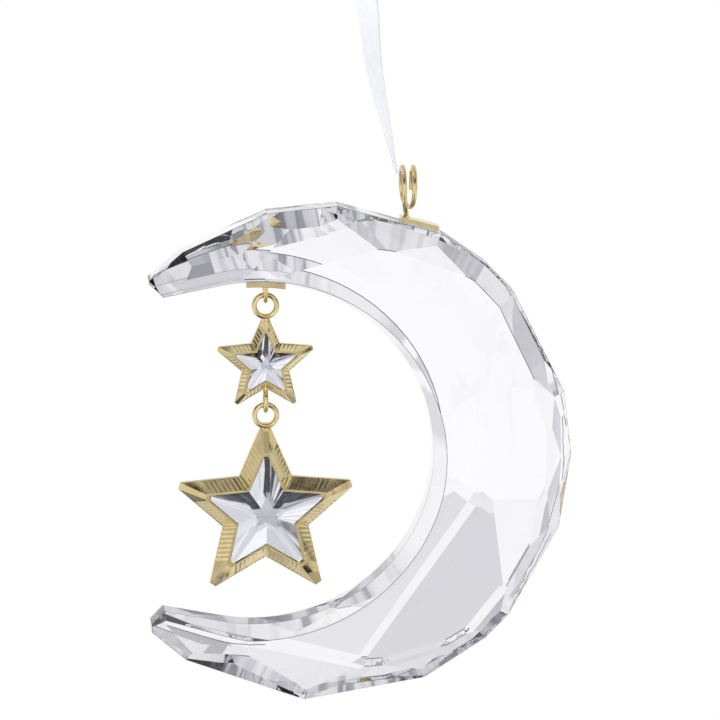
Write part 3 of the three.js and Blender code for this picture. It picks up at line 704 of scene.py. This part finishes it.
def star_frame(size, crest, edge, pitch):
    """Rounds and flutes one star frame. Its ring stays round, and the rest is shaded flat."""
    made = copy_of(size + "_star_frame", "fluted_" + size + "_star")
    round_edges(made, width=CAST_ROUNDING, over=24, smooth=35)
    bpy.ops.object.mode_set(mode="EDIT")
    bpy.ops.mesh.select_mode(type="FACE")
    reach = crest[0] * math.sin(math.radians(HALF_POINT)) * FLUTED_SHARE * MM
    for notch in range(5):
        for side in (-1, 1):
            notch_turn = math.radians(54 + 72 * notch)
            foot, across, normal = slope_at(STAR_MIDDLES[size], notch_turn, side, crest, edge)
            flute(made, foot, across, normal, pitch * MM, reach)
    bpy.ops.object.mode_set(mode="OBJECT")
    for face in made.data.polygons:
        if (face.center - STAR_MIDDLES[size] * MM).length < edge[0] * MM:
            face.use_smooth = False
    gild(made, size + "_star")


star_frame("small", crest=(5.22, -1.3), edge=(7.24, 0.2), pitch=0.5)
star_frame("large", crest=(9.22, -1.85), edge=(13.16, 0.65), pitch=0.6)


# Small star's eye: a bent wire of gold-plated brass, soldered in the lower notch of the small star.
# The large star's ring hangs in it.
small_eye = copy_of("small_star_eye", "wire_small_star_eye")
draw_wire(small_eye)
gild(small_eye, "small_star")


# Star stones: pressed crystal glass, foiled with silver behind and set in the frames. Light goes in
# through the facets in front, comes back from the facets of the foil, and gives grey, lavender and
# black patches side by side.
# TABLE_CUT is what the small flat table takes off the point in front. A face whose normal's y is
# over BACK_LEAN belongs to the back, which keeps only BACK_DEPTH_SHARE of its depth, because the
# drawn foil has its rays instead.
TABLE_CUT = {"small": 0.16, "large": 0.28}
BACK_LEAN = 0.1
BACK_DEPTH_SHARE = 0.1
# Clear pressed glass, never quite flat: the mould leaves waves 1.8 mm long, which bend what the
# facets mirror and show.
PRESS_WAVE, PRESS_DEPTH = 1.8, 0.02
stone_glass, nodes = material("foiled crystal stone")
place = add(nodes, "ShaderNodeTexCoord")
press_waves = add(nodes, "ShaderNodeTexNoise", [("Vector", place, "Object")],
                  Scale=1 / (PRESS_WAVE * MM), Detail=0)
pressed = add(nodes, "ShaderNodeBump", [("Height", press_waves, 0)], Strength=1,
              Distance=PRESS_DEPTH * MM)
shader = add(nodes, "ShaderNodeBsdfPrincipled", [("Normal", pressed, "Normal")],
             Base_Color=linear("FBFCFE"), Roughness=0, IOR=1.56, Transmission_Weight=1)
add(nodes, "ShaderNodeOutputMaterial", [("Surface", shader, "BSDF")])
# The foil lies on a back that is pressed in rays from the star's middle, which break each facet into
# streaks. The star's middle lies at these shares of its box. RAY_CHOICE picks one of the noise's
# patterns, the one whose dark rays fall on the upper point.
MIDDLE_ACROSS, MIDDLE_UP = 0.5, 0.447
RAY_HEIGHT = 0.2
RAY_COUNT = 3.5
RAY_CHOICE = 4
foil, nodes = material("silver foil behind crystal")
place = add(nodes, "ShaderNodeTexCoord")
centred = add(nodes, "ShaderNodeMapping", [
    ("Vector", place, "Generated"), ("Location", (-MIDDLE_ACROSS, 0, -MIDDLE_UP)), ("Scale", (1, 0, 1))])
outward = add(nodes, "ShaderNodeVectorMath", [(0, centred, 0)], operation="NORMALIZE")
reach = add(nodes, "ShaderNodeVectorMath", [(0, centred, 0)], operation="LENGTH")
rays = add(nodes, "ShaderNodeTexNoise", [("Vector", outward, 0)], noise_dimensions="4D", W=RAY_CHOICE,
           Scale=RAY_COUNT, Detail=1)
fans = add(nodes, "ShaderNodeMath", [(0, rays, 0), (1, reach, "Value")], operation="MULTIPLY")
haze = add(nodes, "ShaderNodeMapRange", [("Value", rays, 0)], From_Min=0.3, From_Max=0.7, To_Min=0.03,
           To_Max=0.08)
pressed_rays = add(nodes, "ShaderNodeBump", [("Height", fans, 0)], Strength=1, Distance=RAY_HEIGHT * MM)
shader = add(nodes, "ShaderNodeBsdfPrincipled", [
    ("Roughness", haze, 0), ("Normal", pressed_rays, "Normal")],
    Base_Color=linear("F2F3F6"), Metallic=1)
add(nodes, "ShaderNodeOutputMaterial", [("Surface", shader, "BSDF")])
for size in ("small", "large"):
    stone = copy_of(size + "_star_stone", "foiled_" + size + "_stone")
    apex = min(v.co.y for v in stone.data.vertices)
    bpy.ops.object.mode_set(mode="EDIT")
    bpy.ops.mesh.select_all(action="SELECT")
    bpy.ops.mesh.bisect(plane_co=(0, apex + TABLE_CUT[size] * MM, 0), plane_no=(0, -1, 0), use_fill=True,
                        clear_outer=True)
    bpy.ops.object.mode_set(mode="OBJECT")
    stone.data.materials.append(stone_glass)
    stone.data.materials.append(foil)
    for face in stone.data.polygons:
        face.material_index = 1 if face.normal.y > BACK_LEAN else 0
    foiled = [face for face in stone.data.polygons if face.material_index]
    back_front = min(stone.data.vertices[k].co.y for face in foiled for k in face.vertices)
    # A point of the back is drawn in once for each face that meets there, so the back ends nearly
    # flat.
    for face in foiled:
        for k in face.vertices:
            spot = stone.data.vertices[k].co
            spot.y = back_front + BACK_DEPTH_SHARE * (spot.y - back_front)
    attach(stone, size + "_star")
